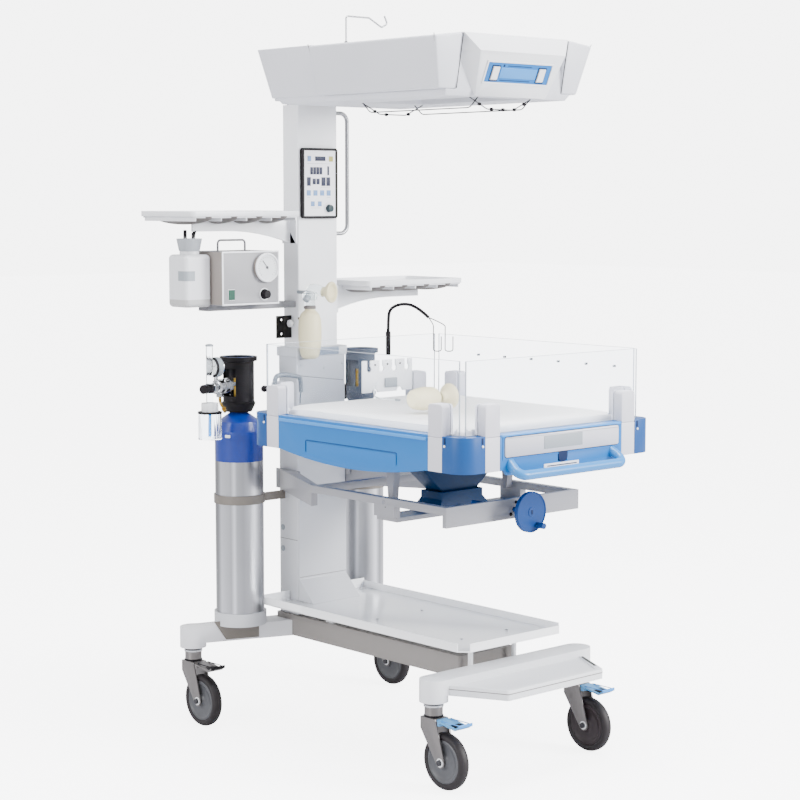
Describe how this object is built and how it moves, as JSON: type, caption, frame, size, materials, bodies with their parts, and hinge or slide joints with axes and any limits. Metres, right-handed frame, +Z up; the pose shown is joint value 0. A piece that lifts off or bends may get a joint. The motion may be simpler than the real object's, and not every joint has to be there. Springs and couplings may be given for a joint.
{
  "type": "infant radiant warmer",
  "caption": "Infant radiant warmer on casters: tilting bed with clear fold-down walls, a column with shelves and suction, gas bottles, and a swivelling heater head with a wire guard.",
  "frame": {"origin": "on the floor, under the middle of the warmer's outline", "axes": "+Z up, -Y towards the drawer and push handle, +Y towards the column"},
  "size_m": [0.974, 1.2295, 2.0381],
  "materials": {
    "frame_grey": "satin powder coat",
    "warm_grey": "satin powder coat",
    "white_paint": "gloss",
    "white_plastic": "satin",
    "cover_grey": "satin",
    "bed_blue": "satin",
    "deep_blue": "satin",
    "pedal_blue": "satin",
    "black_plastic": "satin",
    "key_green": "satin",
    "tyre_grey": "matt",
    "bright_metal": "polished",
    "steel": "brushed",
    "bottle_aluminium": "brushed, blue above",
    "clear": "polished",
    "pad": "coated cloth",
    "silicone": "matt"
  },
  "bodies": {
    "chassis": {"base_frame": "frame_grey", "front_foot": "frame_grey", "lower_tray": "white_paint", "lower_housing": "frame_grey", "housing_cover": "white_paint", "column": "frame_grey", "control_panel": "black_plastic", "side_rail": "steel", "swivel_plate": "warm_grey", "left_shelf": "frame_grey", "right_shelf": "frame_grey", "suction_case": "white_plastic", "suction_jar": "white_plastic", "suction_fittings": "frame_grey", "gas_cylinders": "bottle_aluminium", "valve_guards": "black_plastic", "cylinder_holders": "white_plastic", "regulator": "bright_metal", "flowmeter": "clear", "bed_frame": "frame_grey", "pedestal_foot": "deep_blue", "resuscitator": "silicone"},
    "head": {"head_shell": "cover_grey", "side_covers": "cover_grey", "head_console": "white_plastic", "reflector": "bright_metal", "heater_rod": "steel", "heater_guard": "bright_metal"},
    "bed": {"tilt_pedestal": "deep_blue", "bed_shell": "bed_blue", "corner_posts": "white_plastic", "mattress": "pad", "panel_head": "clear", "push_handle": "deep_blue", "gooseneck": "black_plastic", "bed_accessories": "silicone"},
    "drip_hook_body": {"drip_hook": "bright_metal"},
    "rocker_left_body": {"rocker_left": "white_plastic"},
    "rocker_right_body": {"rocker_right": "white_plastic"},
    "control_knob_body": {"control_knob": "key_green"},
    "suction_knob_body": {"suction_knob": "black_plastic"},
    "suction_switch_body": {"suction_switch": "key_green"},
    "regulator_knob_body": {"regulator_knob": "black_plastic"},
    "panel_left_body": {"panel_left": "clear"},
    "panel_right_body": {"panel_right": "clear"},
    "panel_foot_body": {"panel_foot": "clear"},
    "drawer_body": {"drawer": "white_plastic"},
    "crank": {"crank_wheel": "deep_blue"},
    "caster_fl": {"caster_fork_fl": "bright_metal"},
    "wheel_fl": {"caster_wheel_fl": "tyre_grey"},
    "pedal_fl": {"caster_pedal_fl": "pedal_blue"},
    "caster_fr": {"caster_fork_fr": "bright_metal"},
    "wheel_fr": {"caster_wheel_fr": "tyre_grey"},
    "pedal_fr": {"caster_pedal_fr": "pedal_blue"},
    "caster_rl": {"caster_fork_rl": "bright_metal"},
    "wheel_rl": {"caster_wheel_rl": "tyre_grey"},
    "pedal_rl": {"caster_pedal_rl": "steel"},
    "caster_rr": {"caster_fork_rr": "bright_metal"},
    "wheel_rr": {"caster_wheel_rr": "tyre_grey"},
    "pedal_rr": {"caster_pedal_rr": "steel"}
  },
  "joints": [
    {"name": "caster_swivel_fl", "type": "hinge", "parent": "chassis", "child": "caster_fl", "pos_m": [-0.27, -0.37, 0.224], "axis": [0, 0, 1], "continuous": true},
    {"name": "wheel_spin_fl", "type": "hinge", "parent": "caster_fl", "child": "wheel_fl", "pos_m": [-0.27, -0.418, 0.075], "axis": [1, 0, 0], "continuous": true},
    {"name": "brake_pedal_fl", "type": "hinge", "parent": "caster_fl", "child": "pedal_fl", "pos_m": [-0.27, -0.4007, 0.1812], "axis": [1, 0, 0], "range_deg": [0, 10]},
    {"name": "caster_swivel_fr", "type": "hinge", "parent": "chassis", "child": "caster_fr", "pos_m": [0.27, -0.37, 0.224], "axis": [0, 0, 1], "continuous": true},
    {"name": "wheel_spin_fr", "type": "hinge", "parent": "caster_fr", "child": "wheel_fr", "pos_m": [0.27, -0.418, 0.075], "axis": [1, 0, 0], "continuous": true},
    {"name": "brake_pedal_fr", "type": "hinge", "parent": "caster_fr", "child": "pedal_fr", "pos_m": [0.27, -0.4007, 0.1812], "axis": [1, 0, 0], "range_deg": [0, 10]},
    {"name": "caster_swivel_rl", "type": "hinge", "parent": "chassis", "child": "caster_rl", "pos_m": [-0.364, 0.55, 0.224], "axis": [0, 0, 1], "continuous": true},
    {"name": "wheel_spin_rl", "type": "hinge", "parent": "caster_rl", "child": "wheel_rl", "pos_m": [-0.364, 0.502, 0.075], "axis": [1, 0, 0], "continuous": true},
    {"name": "brake_pedal_rl", "type": "hinge", "parent": "caster_rl", "child": "pedal_rl", "pos_m": [-0.364, 0.5193, 0.1812], "axis": [1, 0, 0], "range_deg": [0, 10]},
    {"name": "caster_swivel_rr", "type": "hinge", "parent": "chassis", "child": "caster_rr", "pos_m": [0.364, 0.55, 0.224], "axis": [0, 0, 1], "continuous": true},
    {"name": "wheel_spin_rr", "type": "hinge", "parent": "caster_rr", "child": "wheel_rr", "pos_m": [0.364, 0.502, 0.075], "axis": [1, 0, 0], "continuous": true},
    {"name": "brake_pedal_rr", "type": "hinge", "parent": "caster_rr", "child": "pedal_rr", "pos_m": [0.364, 0.5193, 0.1812], "axis": [1, 0, 0], "range_deg": [0, 10]},
    {"name": "head_swivel", "type": "hinge", "parent": "chassis", "child": "head", "pos_m": [0, 0.451, 1.794], "axis": [0, 0, 1], "range_deg": [-90, 90]},
    {"name": "drip_hook_turn", "type": "hinge", "parent": "head", "child": "drip_hook_body", "pos_m": [0, 0.287, 1.923], "axis": [0, 0, 1], "continuous": true},
    {"name": "rocker_left_tilt", "type": "hinge", "parent": "head", "child": "rocker_left_body", "pos_m": [-0.084, -0.39444, 1.83383], "axis": [1, 0, 0], "range_deg": [-4, 4]},
    {"name": "rocker_right_tilt", "type": "hinge", "parent": "head", "child": "rocker_right_body", "pos_m": [0.084, -0.39444, 1.83383], "axis": [1, 0, 0], "range_deg": [-4, 4]},
    {"name": "control_knob_turn", "type": "hinge", "parent": "chassis", "child": "control_knob_body", "pos_m": [0.033, 0.405, 1.486], "axis": [0, 1, 0], "range_deg": [-150, 150]},
    {"name": "suction_knob_turn", "type": "hinge", "parent": "chassis", "child": "suction_knob_body", "pos_m": [-0.241, 0.362, 1.247], "axis": [0, 1, 0], "range_deg": [-150, 150]},
    {"name": "suction_switch_tilt", "type": "hinge", "parent": "chassis", "child": "suction_switch_body", "pos_m": [-0.357, 0.3625, 1.248], "axis": [1, 0, 0], "range_deg": [-4, 4]},
    {"name": "oxygen_tap_turn", "type": "hinge", "parent": "chassis", "child": "regulator_knob_body", "pos_m": [-0.39787, 0.4221, 0.985], "axis": [-0.9114, -0.4115, 0], "range_deg": [-180, 180]},
    {"name": "bed_tilt", "type": "hinge", "parent": "chassis", "child": "bed", "pos_m": [0, -0.152, 0.715], "axis": [1, 0, 0], "range_deg": [-10, 10]},
    {"name": "crank_turn", "type": "hinge", "parent": "chassis", "child": "crank", "pos_m": [0, -0.453, 0.698], "axis": [0, 1, 0], "range_deg": [-900, 900]},
    {"name": "drawer_slide", "type": "slide", "parent": "bed", "child": "drawer_body", "axis": [0, -1, 0], "range_m": [0, 0.28]},
    {"name": "panel_left_fold", "type": "hinge", "parent": "bed", "child": "panel_left_body", "pos_m": [-0.3543, -0.138, 0.925], "axis": [0, -1, 0], "range_deg": [0, 175]},
    {"name": "panel_right_fold", "type": "hinge", "parent": "bed", "child": "panel_right_body", "pos_m": [0.3543, -0.138, 0.925], "axis": [0, 1, 0], "range_deg": [0, 175]},
    {"name": "panel_foot_fold", "type": "hinge", "parent": "bed", "child": "panel_foot_body", "pos_m": [0, -0.5643, 0.925], "axis": [1, 0, 0], "range_deg": [0, 90]}
  ],
  "couplings": [
    {"joint": "crank_turn", "follows": "bed_tilt", "ratio": 72}
  ]
}
